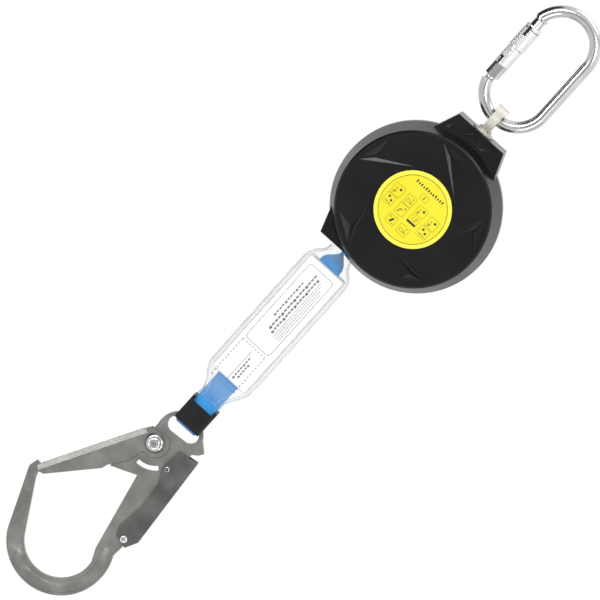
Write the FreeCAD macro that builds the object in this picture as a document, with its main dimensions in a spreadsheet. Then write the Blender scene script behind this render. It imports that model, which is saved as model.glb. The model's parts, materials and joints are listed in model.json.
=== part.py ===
"""Self retracting lifeline: housing with a webbing drum, swivel and carabiner above, energy absorber and rebar hook below.

Millimetres, +Z up, label facing -Y. The origin is the point inside the carabiner's upper bow that bears on the
anchor. Each piece is drawn about the centre of its own group and then placed: the carabiner, the housing, the
webbing line or the hook's eye.
"""
import FreeCAD, Part
import math
import os
from FreeCAD import Placement, Rotation, Vector

os.makedirs("parts", exist_ok=True)
doc = FreeCAD.newDocument("lifeline")

# Driving dimensions

DIMENSIONS = {
    "carabiner_centre_z": -59.5, "bow_radius": 33.5, "bow_offset": 32.5, "rod_radius": 6.0, "gate_axis_x": -31.5,
    "gate_rivet_drop": 33.0, "sleeve_bore": 6.2, "sleeve_radius": 8.8, "follower_radius": 8.2,
    "housing_centre_z": -243.5, "rim_radius": 86.0, "face_radius": 78.5, "half_depth": 36.0, "wall": 3.0,
    "lug_depth": 17.0, "label_radius": 39.0, "label_thickness": 0.4,
    "eye_radius": 15.4, "eye_hole_radius": 8.7, "eye_width": 9.5, "eye_centre": 116.6, "stem_radius": 6.0,
    "shaft_radius": 7.0, "hub_radius": 22.0, "roll_radius": 46.5, "flange_radius": 52.0, "webbing_width": 25.0,
    "webbing_thickness": 1.8, "plate_thickness": 3.0, "plate_radius": 62.0,
    "webbing_x": -24.0, "pack_width": 55.0, "pack_depth": 24.0,
    "hook_eye_z": -564.0, "hook_tilt": -4.74, "hook_thickness": 7.0, "cheek_thickness": 2.0, "cheek_gap": 0.35,
    "crook_inner": 37.0, "crook_outer": 54.5,
}

sheet = doc.addObject("Spreadsheet::Sheet", "Dims")
for row, (alias, value) in enumerate(DIMENSIONS.items(), start=1):
    sheet.set(f"A{row}", alias)
    sheet.set(f"B{row}", str(value))
    sheet.setAlias(f"B{row}", alias)
doc.recompute()
D = type("Dimensions", (), {alias: float(sheet.get(alias)) for alias in DIMENSIONS})

# Groups: where each group's own origin lies

CARABINER = Vector(0, 0, D.carabiner_centre_z)
HOUSING = Vector(0, 0, D.housing_centre_z)
LINE = Vector(D.webbing_x, 0, D.housing_centre_z)
HOOK = Vector(D.webbing_x, 0, D.hook_eye_z)
HOOK_TURN = Rotation(Vector(0, 1, 0), D.hook_tilt)
UPRIGHT = Rotation()
ALONG_Y = Rotation(Vector(1, 0, 0), 90)
ALONG_X = Rotation(Vector(0, 1, 0), 90)

nodes = {}


def finish(obj, node, origin, turn=UPRIGHT):
    """Name the piece's node and put it in its group's place."""
    obj.Label = node
    obj.Placement = Placement(origin, turn).multiply(obj.Placement)
    nodes[node] = obj
    return obj


def bind(obj, **expressions):
    for prop, expression in expressions.items():
        obj.setExpression(prop, str(expression))
    return obj


# Solids. Radii and lengths may be numbers or expressions of the sheet's cells.

def cylinder(name, radius, length, start, turn=UPRIGHT):
    obj = doc.addObject("Part::Cylinder", name)
    bind(obj, Radius=radius, Height=length)
    obj.Placement = Placement(Vector(*start), turn)
    return obj


def rod_y(name, radius, y_low, y_high, x=0.0, z=0.0):
    """A cylinder along Y from y_low to y_high."""
    return cylinder(name, radius, y_high - y_low, (x, y_high, z), ALONG_Y)


def box(name, low, high):
    obj = doc.addObject("Part::Box", name)
    bind(obj, Length=high[0] - low[0], Width=high[1] - low[1], Height=high[2] - low[2])
    obj.Placement = Placement(Vector(*low), UPRIGHT)
    return obj


def torus(name, ring_radius, tube_radius, centre, start_angle, sweep):
    """Part of a ring about the Y axis, from start_angle counter-clockwise seen from the front."""
    obj = doc.addObject("Part::Torus", name)
    bind(obj, Radius1=ring_radius, Radius2=tube_radius, Angle3=sweep)
    obj.Placement = Placement(Vector(*centre), Rotation(Vector(0, -1, 0), start_angle).multiply(ALONG_Y))
    return obj


def fuse(name, *shapes):
    obj = doc.addObject("Part::MultiFuse", name)
    obj.Shapes = list(shapes)
    obj.Refine = True
    return obj


def cut(name, base, *tools):
    tool = tools[0] if len(tools) == 1 else fuse(name + "_tool", *tools)
    obj = doc.addObject("Part::Cut", name)
    obj.Base = base
    obj.Tool = tool
    return obj


def common(name, first, second):
    obj = doc.addObject("Part::Common", name)
    obj.Base = first
    obj.Tool = second
    return obj


# Sketched solids. An outline is a list of corners (x, z); an arc stands between two corners as
# ("arc", centre_x, centre_z, radius, start_degrees, end_degrees) and runs the way its angles do.

def origin_plane(body, role):
    return next(feature for feature in body.Origin.OriginFeatures if feature.Role == role)


def arc_ends(item):
    _, cx, cz, radius, start, end = item
    return [(cx + radius * math.cos(math.radians(a)), cz + radius * math.sin(math.radians(a))) for a in (start, end)]


def draw_outline(sketch, outline):
    """Add the outline's lines and arcs to the sketch, closing the last to the first."""
    starts = [arc_ends(item)[0] if item[0] == "arc" else item for item in outline]
    for index, item in enumerate(outline):
        here = item
        if item[0] == "arc":
            _, cx, cz, radius, start, end = item
            low, high = sorted((start, end))
            circle = Part.Circle(Vector(cx, cz, 0), Vector(0, 0, 1), radius)
            sketch.addGeometry(Part.ArcOfCircle(circle, math.radians(low), math.radians(high)), False)
            here = arc_ends(item)[1]
        there = starts[(index + 1) % len(outline)]
        if math.dist(here, there) > 1e-4:
            sketch.addGeometry(Part.LineSegment(Vector(*here, 0), Vector(*there, 0)), False)


def sketch_body(name, role, outlines, circles=()):
    body = doc.addObject("PartDesign::Body", name)
    sketch = body.newObject("Sketcher::SketchObject", name + "_sketch")
    sketch.AttachmentSupport = [(origin_plane(body, role), "")]
    sketch.MapMode = "FlatFace"
    for outline in outlines:
        draw_outline(sketch, outline)
    for x, z, radius in circles:
        sketch.addGeometry(Part.Circle(Vector(x, z, 0), Vector(0, 0, 1), radius), False)
    return body, sketch


def plate(name, outlines, thickness, circles=(), middle=0.0):
    """A plate in the XZ plane, its thickness centred on y = middle."""
    body, sketch = sketch_body(name, "XZ_Plane", outlines, circles)
    pad = body.newObject("PartDesign::Pad", name + "_pad")
    pad.Profile = sketch
    bind(pad, Length=thickness)
    pad.SideType = "Symmetric"
    body.Tip = pad
    body.Placement = Placement(Vector(0, middle, 0), UPRIGHT)
    return body


def spun(name, outline):
    """A solid of revolution about the Y axis. The outline is drawn as (radius, y)."""
    body, sketch = sketch_body(name, "XY_Plane", [outline])
    revolution = body.newObject("PartDesign::Revolution", name + "_revolution")
    revolution.Profile = sketch
    revolution.ReferenceAxis = (sketch, ["V_Axis"])
    revolution.Angle = 360
    body.Tip = revolution
    return body


def polar(radius, degrees):
    return (radius * math.cos(math.radians(degrees)), radius * math.sin(math.radians(degrees)))


# Carabiner, drawn about its own centre. The gate side is -X.

GATE_X = D.gate_axis_x
RIVET_Z = -D.gate_rivet_drop
NOSE_Z = 33.0
GATE_TOP = 36.6


def carabiner():
    bow, offset, rod = D.bow_radius, D.bow_offset, "Dims.rod_radius"
    top = torus("top_bow", "Dims.bow_radius", rod, (0, 0, offset), 0, 170)
    bottom = torus("bottom_bow", "Dims.bow_radius", rod, (0, 0, -offset), 195, 165)
    spine = cylinder("spine", rod, "2 * Dims.bow_offset", (bow, 0, -offset))
    nose = box("nose_tang", (GATE_X - 2.5, -2, NOSE_Z), (GATE_X + 2.5, 2, 41))
    tang = box("hinge_tang", (GATE_X - 4.5, -2.5, RIVET_Z - 9), (GATE_X + 4.5, 2.5, RIVET_Z + 4.5))
    ring = cylinder("nose_ring", 6.9, 2.2, (GATE_X, 0, GATE_TOP + 0.8))
    solid = fuse("carabiner_solid", top, bottom, spine, nose, tang, ring)
    finish(cut("carabiner_cut", solid, rod_y("tang_hole", 2.0, -4, 4, GATE_X, RIVET_Z)), "carabiner_body", CARABINER)

    barrel = cylinder("barrel", rod, GATE_TOP - RIVET_Z, (GATE_X, 0, RIVET_Z))
    heel = rod_y("gate_heel", 6.0, -6, 6, GATE_X, RIVET_Z)
    heel = common("gate_heel_round", heel, cylinder("heel_barrel", rod, 14, (GATE_X, 0, RIVET_Z - 7)))
    block = common("hinge_block", cylinder("block_round", 8.0, 14.3, (GATE_X, 0, RIVET_Z - 3.5)),
                   box("block_flats", (GATE_X - 9, -7, RIVET_Z - 4), (GATE_X + 9, 7, RIVET_Z + 12)))
    fork = box("fork_slot", (GATE_X - 9, -2.8, RIVET_Z - 9), (GATE_X + 9, 2.8, RIVET_Z + 7.3))
    latch = box("latch_slot", (GATE_X - 8, -2.4, NOSE_Z - 1), (GATE_X + 8, 2.4, GATE_TOP + 1))
    hole = rod_y("gate_hole", 2.05, -8, 8, GATE_X, RIVET_Z)
    gate = cut("gate_cut", fuse("gate_solid", barrel, heel, block), fork, latch, hole)
    finish(gate, "carabiner_gate", CARABINER)

    pin = rod_y("rivet_shank", 2.0, -7.4, 7.4, GATE_X, RIVET_Z)
    heads = [rod_y(f"rivet_head_{side}", 4.2, y, y + 0.9, GATE_X, RIVET_Z) for side, y in enumerate((-7.95, 7.05))]
    finish(fuse("rivet_solid", pin, *heads), "carabiner_rivet", CARABINER)


def lock_sleeve():
    """The lower follower lifts on the gate, and carries the upper sleeve, which twists."""
    follower = cylinder("follower_tube", "Dims.follower_radius", 21.5, (GATE_X, 0, -21.8))
    bore = cylinder("follower_bore", "Dims.sleeve_bore", 30, (GATE_X, 0, -24))
    slot = box("spring_slot", (GATE_X - 12, -1.6, -21.9), (GATE_X, 1.6, -14))
    finish(cut("follower_cut", follower, bore, slot), "sleeve_follower", CARABINER)

    tube = cylinder("sleeve_tube", "Dims.sleeve_radius", 28.2, (GATE_X, 0, 0))
    groove = cut("sleeve_groove", cylinder("groove_outer", 10, 1.2, (GATE_X, 0, 23.5)),
                 cylinder("groove_inner", 8.3, 3, (GATE_X, 0, 23)))
    sleeve_bore = cylinder("sleeve_bore_tool", "Dims.sleeve_bore", 40, (GATE_X, 0, -2))
    window = box("sleeve_window", (GATE_X - 3, -12, 16.5), (GATE_X + 1.5, 0, 22))
    finish(cut("sleeve_cut", tube, sleeve_bore, groove, window), "lock_sleeve", CARABINER)


# Swivel, drawn about the housing's centre. Its stem reaches down through the lug to the anchor block.

STEM_END, PIN_Z, NUT_BASE, NUT_HEIGHT = 52.1, 55.6, 52.3, 7.8


def swivel():
    width, centre = "Dims.eye_width", D.eye_centre
    ring = cylinder("eye_ring", "Dims.eye_radius", width, (-D.eye_width / 2, 0, centre), ALONG_X)
    saddle = cylinder("eye_saddle", "Dims.eye_radius", 12.5, (-6.25, 0, centre), ALONG_X)
    saddle = common("eye_saddle_top", saddle, box("saddle_zone", (-8, -20, centre + 9), (8, 20, centre + 18)))
    hole = cylinder("eye_hole", "Dims.eye_hole_radius", 20, (-10, 0, centre), ALONG_X)
    stem = cylinder("eye_stem", "Dims.stem_radius", 104.6 - STEM_END, (0, 0, STEM_END))
    collar = cylinder("eye_collar", 7.5, 3.2, (0, 0, 101.4))
    pin_hole = cylinder("stem_pin_hole", 1.2, 30, (-15, 0, PIN_Z), ALONG_X)
    eye = cut("eye_cut", fuse("eye_solid", ring, saddle, stem, collar), hole, pin_hole)
    finish(eye, "swivel_eye", HOUSING)

    disc = cylinder("washer_disc", 12, 1.7, (0, 0, 99.7))
    finish(cut("washer_cut", disc, cylinder("washer_hole", "Dims.stem_radius", 4, (0, 0, 98))), "swivel_washer",
           HOUSING)
    thrust = cylinder("thrust_disc", 10, 1.7, (0, 0, NUT_BASE + NUT_HEIGHT))
    finish(cut("thrust_cut", thrust, cylinder("thrust_hole", "Dims.stem_radius", 40, (0, 0, STEM_END))), "thrust_washer",
           HOUSING)
    hexagon = doc.addObject("Part::Prism", "nut_prism")
    bind(hexagon, Polygon=6, Circumradius=10, Height=NUT_HEIGHT)
    hexagon.Placement = Placement(Vector(0, 0, NUT_BASE), UPRIGHT)
    nut = cut("nut_cut", hexagon, cylinder("nut_hole", "Dims.stem_radius", 12, (0, 0, NUT_BASE - 2)),
              cylinder("nut_pin_hole", 1.2, 30, (-15, 0, PIN_Z), ALONG_X))
    finish(nut, "swivel_nut", HOUSING)
    finish(cylinder("split_pin_rod", 1.2, 24, (-12, 0, PIN_Z), ALONG_X), "split_pin", HOUSING)


# Housing shells, drawn about the housing's centre

TOP_LUG = [(-41, 70), (-29.5, 99.5), (29.5, 99.5), (41, 70)]
EXIT_LUG = [(-66, -45), (-54, -80.5), (8, -80.5), (20, -45)]
EXIT_SLOT = (D.webbing_x - 2.5, D.webbing_x + 2.5)
BOSS_ANGLES = (38, 142, 182, 218, 300, 345)
BOSS_RADIUS = 71.0
ARMS = (34.8, 106.8, 178.8, 250.8, 322.8)


def shell_profile(side, inset):
    """Half of the housing's section, from the parting plane to the face; inset shrinks it to the cavity."""
    rim, face, depth = D.rim_radius - inset, D.face_radius - inset, D.half_depth - inset
    corner = 2.0
    return [(0, 0), (rim, 0), (rim, side * 5.0), (face, side * (depth - corner)),
            (face - corner, side * depth), (0, side * depth)]


def lug_block(name, outline, side, inset):
    """A lug from the parting plane towards one side, or its cavity."""
    cx = sum(x for x, _ in outline) / len(outline)
    shrink = [(x + math.copysign(inset * 1.15, cx - x), z - math.copysign(inset, z)) for x, z in outline]
    depth = D.lug_depth - inset
    return plate(name, [shrink], depth, middle=side * depth / 2)


def facet(name, corners, deep):
    """A shallow three-sided pit in the face, used as a cutter: a triangle on the face and one deep point."""
    top = [Vector(x, -D.half_depth - 0.02, z) for x, z in corners]
    low = Vector(deep[0], -D.half_depth + 1.7, deep[1])
    faces = [Part.Face(Part.makePolygon(loop + loop[:1]))
             for loop in (top, [top[0], top[1], low], [top[1], top[2], low], [top[2], top[0], low])]
    obj = doc.addObject("Part::Feature", name)
    obj.Shape = Part.Solid(Part.Shell(faces))
    if obj.Shape.Volume < 0:
        obj.Shape = obj.Shape.reversed()
    return obj


def arm_facets(index, angle):
    """One arm of the face's swirl: a long slope that narrows inwards and a short one that widens to the rim."""
    start, corner, tip = polar(73, angle), polar(64.5, angle - 11), polar(42.5, angle - 51)
    outer, shoulder = polar(73.5, angle - 28), polar(63.5, angle - 15)
    return [facet(f"long_facet_{index}", (start, corner, tip), polar(64.8, angle - 11.5)),
            facet(f"short_facet_{index}", (polar(72, angle - 3), outer, shoulder), polar(64.2, angle - 14.5))]


def cover_shell(tag, side):
    outer = fuse(f"{tag}_outer", spun(f"{tag}_bowl", shell_profile(side, 0)),
                 lug_block(f"{tag}_top_lug", TOP_LUG, side, 0), lug_block(f"{tag}_exit_lug", EXIT_LUG, side, 0))
    inner = fuse(f"{tag}_inner", spun(f"{tag}_hollow", shell_profile(side, D.wall)),
                 lug_block(f"{tag}_top_hollow", TOP_LUG, side, D.wall),
                 lug_block(f"{tag}_exit_hollow", EXIT_LUG, side, D.wall))
    return cut(f"{tag}_shell", outer, inner)


def bosses(tag, side, radius):
    reach = D.half_depth - 1.0
    ends = (-reach, 0.0) if side < 0 else (0.0, reach)
    return [rod_y(f"{tag}_boss_{angle}", radius, *ends, *polar(BOSS_RADIUS, angle)) for angle in BOSS_ANGLES]


def panel_recess(tag, outline, side):
    """The shallow sunk panel in a lug's face, inside its raised border; it stops short of the round rim."""
    cx = sum(x for x, _ in outline) / len(outline)
    shrink = [(x + math.copysign(2.8, cx - x), z - math.copysign(2.2, z)) for x, z in outline]
    panel = plate(f"{tag}_blank", [shrink], 2.0, middle=side * (D.lug_depth + 0.2))
    return cut(tag, panel, rod_y(f"{tag}_rim", D.rim_radius + 1.2, -20, 20))


def covers():
    stem_hole = cylinder("stem_way", 6.6, 14, (0, 0, 90))
    web_way = box("webbing_way", (EXIT_SLOT[0], -14, -90), (EXIT_SLOT[1], 14, -70))
    for tag, side in (("front", -1), ("rear", 1)):
        shell = fuse(f"{tag}_bossed", cover_shell(tag, side), *bosses(tag, side, 5.0))
        recesses = [panel_recess(f"{tag}_top_panel", TOP_LUG, side), panel_recess(f"{tag}_exit_panel", EXIT_LUG, side)]
        depth = side * D.half_depth
        if side < 0:
            pocket = [rod_y("front_pocket", "Dims.label_radius + 0.3", depth - 1, depth + 0.6)]
            pocket += [cutter for index, angle in enumerate(ARMS) for cutter in arm_facets(index, angle)]
            holes = [rod_y(f"front_screw_way_{angle}", 2.0, -22, 1, *polar(BOSS_RADIUS, angle)) for angle in BOSS_ANGLES]
        else:
            pocket = [box("rear_pocket", (-40.3, depth - 0.6, -30.3), (40.3, depth + 1, 30.3))]
            holes = [rod_y(f"rear_screw_way_{angle}", 2.0, -1, 40, *polar(BOSS_RADIUS, angle)) for angle in BOSS_ANGLES]
            holes += [rod_y(f"rear_head_way_{angle}", 4.2, 31, 40, *polar(BOSS_RADIUS, angle)) for angle in BOSS_ANGLES]
        finish(cut(f"{tag}_cover_cut", shell, *recesses, *pocket, *holes, stem_hole, web_way), f"{tag}_cover", HOUSING)

    face = -D.half_depth + 0.6
    finish(rod_y("label_disc", "Dims.label_radius", face - D.label_thickness, face), "front_label", HOUSING)
    back = D.half_depth - 0.6
    finish(box("label_card", (-40, back, -30), (40, back + D.label_thickness, 30)), "rear_label", HOUSING)
    screws = []
    for angle in BOSS_ANGLES:
        x, z = polar(BOSS_RADIUS, angle)
        screws.append(fuse(f"screw_{angle}", rod_y(f"screw_shank_{angle}", 2.0, -20, 31.2, x, z),
                           rod_y(f"screw_head_{angle}", 4.0, 31, 34, x, z)))
    finish(fuse("screws_all", *screws), "cover_screws", HOUSING)


# Inside the housing: chassis, shaft, drum, lock and power spring

FRONT_PLATE_Y = -25.5
REAR_PLATE_Y = 20.5
CHASSIS = [("arc", 0, 0, D.plate_radius, -35, 68), (18, 73), (-18, 73), ("arc", 0, 0, D.plate_radius, 112, 215),
           (-44, -60), (-38, -65), (-8, -65), (20, -58.7)]


def chassis():
    front = plate("front_chassis_plate", [CHASSIS], "Dims.plate_thickness", [(0, 0, 7.0)], FRONT_PLATE_Y)
    finish(front, "front_plate", HOUSING)
    rear = plate("rear_chassis_plate", [CHASSIS], "Dims.plate_thickness", [(0, 0, 14.0)], REAR_PLATE_Y)
    finish(rear, "rear_plate", HOUSING)
    block = box("block_solid", (-16, -24, NUT_BASE + NUT_HEIGHT + 1.8), (16, 19, 73))
    way = cylinder("block_way", "Dims.stem_radius + 0.06", 20, (0, 0, 58))
    finish(cut("block_cut", block, way), "anchor_block", HOUSING)
    guide = box("guide_solid", (D.webbing_x - 13, -24, -65), (D.webbing_x + 13, 19, -60.6))
    slot = box("guide_slot", (D.webbing_x - 2.6, -13.5, -66), (D.webbing_x + 2.6, 13.5, -59))
    mouth = plate("guide_mouth", [[(-30.5, -59), (-25, -65.5), (-21.4, -65.5), (-21.4, -59)]], 27.0)
    finish(cut("guide_cut", guide, slot, mouth), "exit_guide", HOUSING)


def drum():
    shaft = rod_y("shaft_rod", "Dims.shaft_radius", -29.5, 32.5)
    finish(shaft, "main_shaft", HOUSING)
    clips = []
    for side, y in (("front", -28.6), ("rear", 31.0)):
        clip = cut(f"{side}_clip", rod_y(f"{side}_clip_disc", 10, y, y + 1.2),
                   rod_y(f"{side}_clip_hole", "Dims.shaft_radius", y - 1, y + 3))
        clips.append(clip)
    finish(fuse("clips", *clips), "shaft_clips", HOUSING)

    hub = cut("hub_cut", rod_y("hub_rod", "Dims.hub_radius", -14, 14), rod_y("hub_way", 9.0, -20, 20))
    finish(hub, "drum_hub", HOUSING)
    for side, low in (("front", -17.5), ("rear", 14.0)):
        disc = rod_y(f"{side}_flange_disc", "Dims.flange_radius", low, low + 3.5)
        way = rod_y(f"{side}_flange_way", 9.0, low - 2, low + 6)
        finish(cut(f"{side}_flange_cut", disc, way), f"drum_flange_{side}", HOUSING)
        bush = rod_y(f"{side}_bush_rod", 9.0, *((-17.5, -4) if side == "front" else (4, 17.5)))
        running = rod_y(f"{side}_bush_way", "Dims.shaft_radius + 0.05", -20, 20)
        finish(cut(f"{side}_bush_cut", bush, running), f"bush_{side}", HOUSING)
    roll = cut("roll_cut", rod_y("roll_disc", "Dims.roll_radius", -12.5, 12.5),
               rod_y("roll_core", "Dims.hub_radius", -15, 15))
    finish(roll, "webbing_roll", HOUSING)
    arbor = cut("arbor_cut", rod_y("arbor_rod", 12.0, 17.5, 29.5), rod_y("arbor_way", 7.1, 16, 33))
    finish(arbor, "spring_arbor", HOUSING)


PAWL_RADIUS = 36.0
PAWL_PLACES = (90, 270)


def lock():
    teeth = 12
    ring = rod_y("ratchet_blank", 60.0, -24, -18.6)
    outline = []
    for tooth in range(teeth):
        start = tooth * 360 / teeth
        outline += [polar(48.5, start), polar(56.0, start + 1), polar(53.0, start + 360 / teeth - 1)]
    window = plate("ratchet_window", [outline], 12.0, middle=-21)
    finish(cut("ratchet_cut", ring, window), "ratchet_ring", HOUSING)

    pins = []
    for index, angle in enumerate(PAWL_PLACES):
        px, pz = polar(PAWL_RADIUS, angle)
        turn = math.radians(angle)
        shape = [(-5, -5), (6, -6), (20, -1.5), (21, 2.5), (6, 4), (-5, 5)]
        along, out = (-math.sin(turn), math.cos(turn)), (math.cos(turn), math.sin(turn))
        corners = [(px + u * along[0] + v * out[0], pz + u * along[1] + v * out[1]) for u, v in shape]
        pawl = plate(f"pawl_plate_{index}", [corners], 4.4, [(px, pz, 2.56)], -20.6)
        finish(pawl, f"pawl_{'ab'[index]}", HOUSING)
        pins.append(rod_y(f"pawl_pin_{index}", 2.5, -22.9, -17.5, px, pz))
    finish(fuse("pawl_pins_all", *pins), "pawl_pins", HOUSING)


def power_spring():
    case = cut("case_cut", rod_y("case_disc", 50.0, 22.0, 30.8), rod_y("case_hollow", 48.0, 20, 29.9),
               rod_y("case_way", 7.0, 20, 34))
    finish(case, "spring_case", HOUSING)
    half_turns, thickness, inner, outer = 20, 0.8, 12.4, 47.5
    growth = (outer - inner - thickness) / half_turns

    def spiral(shift):
        """Half circles whose radius grows by one step each, on two centres in turn, so that they join smoothly."""
        arcs = []
        for half in range(half_turns):
            radius, centre = inner + growth * half + shift, growth * (half % 2)
            start, middle, end = [Vector(centre, 0, 0) + Vector(*polar(radius, 180 * half + turn), 0)
                                  for turn in (0, 90, 180)]
            arcs.append(Part.Arc(start, middle, end).toShape())
        return arcs, arcs[0].valueAt(arcs[0].FirstParameter), end

    near, near_start, near_end = spiral(0.0)
    far, far_start, far_end = spiral(thickness)
    wire = Part.Wire([*near, Part.makeLine(near_end, far_end), *reversed(far), Part.makeLine(far_start, near_start)])
    strip = doc.addObject("Part::Feature", "spring_strip")
    strip.Shape = Part.Face(wire).extrude(Vector(0, 0, 7))
    strip.Placement = Placement(Vector(0, 29.6, 0), ALONG_Y)
    finish(strip, "power_spring", HOUSING)


# Webbing line, drawn about the webbing's own centre line at the housing's height

PACK_TOP, PACK_BOTTOM = -98.0, -268.0


def webbing_strip(name, start, end):
    """A straight strip of webbing between two points (x, z), its width along Y."""
    half = D.webbing_thickness / 2
    dx, dz = end[0] - start[0], end[1] - start[1]
    run = math.hypot(dx, dz)
    nx, nz = -dz / run * half, dx / run * half
    outline = [(start[0] + nx, start[1] + nz), (end[0] + nx, end[1] + nz),
               (end[0] - nx, end[1] - nz), (start[0] - nx, start[1] - nz)]
    return plate(name, [outline], "Dims.webbing_width")


def webbing_run():
    """The stretch from the drum's tangent point to the exit; it bends over the guide's mouth."""
    exit_point = (D.webbing_x, -63.0)
    reach = math.hypot(*exit_point)
    radius = D.roll_radius + 0.4 + D.webbing_thickness / 2
    bearing = math.degrees(math.atan2(exit_point[1], exit_point[0])) - math.degrees(math.acos(radius / reach))
    upper = webbing_strip("run_slope", polar(radius, bearing), exit_point)
    lower = webbing_strip("run_drop", exit_point, (D.webbing_x, -82.0))
    elbow = rod_y("run_elbow", D.webbing_thickness / 2, -D.webbing_width / 2, D.webbing_width / 2, *exit_point)
    finish(fuse("run_solid", upper, lower, elbow), "webbing_run", HOUSING)


def webbing_lead():
    """The visible stretch: it leaves the exit edge-on, turns a quarter about its length and enters the pack."""
    half_width, half_thick = D.webbing_width / 2, D.webbing_thickness / 2
    sections = []
    for step in range(7):
        z = -82.3 - (22.0 * step / 6)
        turn = math.radians(90 - 90 * step / 6)
        along = Vector(math.cos(turn), math.sin(turn), 0)
        across = Vector(-math.sin(turn), math.cos(turn), 0)
        corners = [along * (sx * half_width) + across * (sy * half_thick) + Vector(0, 0, z)
                   for sx, sy in ((1, 1), (-1, 1), (-1, -1), (1, -1))]
        sections.append(Part.makePolygon(corners + corners[:1]))
    lead = doc.addObject("Part::Feature", "lead_loft")
    lead.Shape = Part.makeLoft(sections, True, True)
    finish(lead, "webbing_lead", LINE)


def rounded(name, obj, radius, edges):
    fillet = doc.addObject("Part::Fillet", name)
    fillet.Base = obj
    fillet.Edges = [(edge, radius, radius) for edge in edges]
    return fillet


def pack():
    wide, deep = D.pack_width / 2, D.pack_depth / 2
    upright_edges = (1, 3, 5, 7)
    outer = rounded("film_outer", box("film_block", (-wide, -deep, PACK_BOTTOM), (wide, deep, PACK_TOP)), 9,
                    upright_edges)
    inner = rounded("film_inner", box("film_space", (-wide + 1, -deep + 1, PACK_BOTTOM - 5),
                                      (wide - 1, deep - 1, PACK_TOP + 5)), 8, upright_edges)
    finish(cut("film_cut", outer, inner), "pack_film", LINE)
    finish(box("absorber_bundle", (-23, -8, PACK_BOTTOM + 14), (23, 8, PACK_TOP - 6.3)), "absorber_webbing", LINE)
    finish(box("label_sheet", (-21, -8.5, PACK_BOTTOM + 15), (21, -8, PACK_TOP - 7)), "pack_label", LINE)


BAR_Z = -310.0
SWING_RELIEF = 15.6


def loop_and_guard():
    """The lower loop passes through the hook's eye; the guard holds its two plies together."""
    inner, outer = 7.6, 10.6
    half = D.webbing_width / 2
    top = BAR_Z + 32
    body, sketch = sketch_body("loop_profile", "YZ_Plane", [
        [("arc", 0, BAR_Z, outer, 180, 360), (outer, BAR_Z + 6), (2.4, top), (2.4, PACK_BOTTOM + 14),
         (-2.4, PACK_BOTTOM + 14), (-2.4, top), (-outer, BAR_Z + 6)],
        [("arc", 0, BAR_Z, inner, 180, 360), (inner, BAR_Z + 5), (0.6, top - 3), (-0.6, top - 3), (-inner, BAR_Z + 5)]])
    pad = body.newObject("PartDesign::Pad", "loop_pad")
    pad.Profile = sketch
    pad.SideType = "Symmetric"
    bind(pad, Length="Dims.webbing_width")
    body.Tip = pad
    finish(body, "webbing_loop", LINE)

    block = rounded("guard_round", box("guard_block", (-15.5, -13.4, -316.5), (15.5, 13.4, -287)), 3, (1, 3, 5, 7))
    hollow = box("guard_hollow", (-half - 0.05, -11.2, -330), (half + 0.05, 11.2, -280))
    notch = box("guard_front_notch", (-12.2, -20, -292), (12.2, -11, -280))
    relief = plate("guard_eye_relief", [[("arc", 0, -329.5, 26.5, 10, 170)]], SWING_RELIEF)
    finish(cut("guard_cut", block, hollow, notch, relief), "webbing_guard", LINE)


# Rebar hook, drawn about the centre of its eye slot and turned a little in the plane of the plate

PIVOT = (-14.5, -29.3)
LEVER_PIVOT = (18.6, -125.6)
CROOK = (-30.5, -166.4)


def crook_point(radius, degrees):
    x, z = polar(radius, degrees)
    return (CROOK[0] + x, CROOK[1] + z)


BODY_OUTLINE = [
    ("arc", 0, -9, 24, 188, 22), (23.5, -1), (31, -9), (27.5, -13.5), (21.5, -17), (21.5, -24), (28, -116),
    (22.5, -131), ("arc", *CROOK, D.crook_outer, 22, -156), (-101, -124.5), (-98, -115.5), (-91.5, -117),
    (-89, -130), ("arc", *CROOK, D.crook_inner, -156, 4), (1.5, -150), (-9.4, -66.4), (-37, -75.5),
    ("arc", *PIVOT, 11.5, 215, 160)]
GATE_OUTLINE = [
    ("arc", *PIVOT, 14.6, 250, 415), (-27, -19), (-34, -27.5), (-62, -69), (-95, -119.5), (-90, -123.5),
    (-84.5, -122.5), (-41.5, -82), (-39.5, -76.5), (-26, -60)]
GATE_RIDGE = [(-34, -27.5), (-62, -69), (-95, -119.5)]
LEVER_OUTLINE = [(10, -21), (32, -20), (32, -120), (24.5, -132), (10.3, -127), (7.2, -117), (13, -90),
                 (13.2, -62), (6, -45)]
SLOT_RADIUS = 26.0


def slot_outline():
    """The arc slot about the gate's pivot."""
    (px, pz), half = PIVOT, 2.6
    return [("arc", px, pz, SLOT_RADIUS + half, -97, -46), ("arc", px, pz, SLOT_RADIUS - half, -46, -97)]


def rib_outline():
    """The long raised rib that follows the crook."""
    (cx, cz), start, end = CROOK, 238, 384
    return [("arc", cx, cz, 51.5, start, end), ("arc", *crook_point(46.5, end), 5.0, end, end + 180),
            ("arc", cx, cz, 41.5, end, start), ("arc", *crook_point(46.5, start), 5.0, start + 180, start + 360)]


def hook():
    blank = plate("hook_blank", [BODY_OUTLINE], "Dims.hook_thickness", [(*PIVOT, 4.0), (*LEVER_PIVOT, 3.0)])
    eye = [("arc", 8.5, -2, 9, -90, 90), ("arc", -8.5, -2, 9, 90, 270)]
    ribs = plate("hook_rib", [rib_outline()], "Dims.hook_thickness + 1.6")
    windows = [plate("hook_eye_slot", [eye], 20), plate("hook_arc_slot", [slot_outline()], 20)]
    finish(cut("hook_cut", fuse("hook_solid", blank, ribs), *windows), "hook_body", HOOK, HOOK_TURN)


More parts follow.
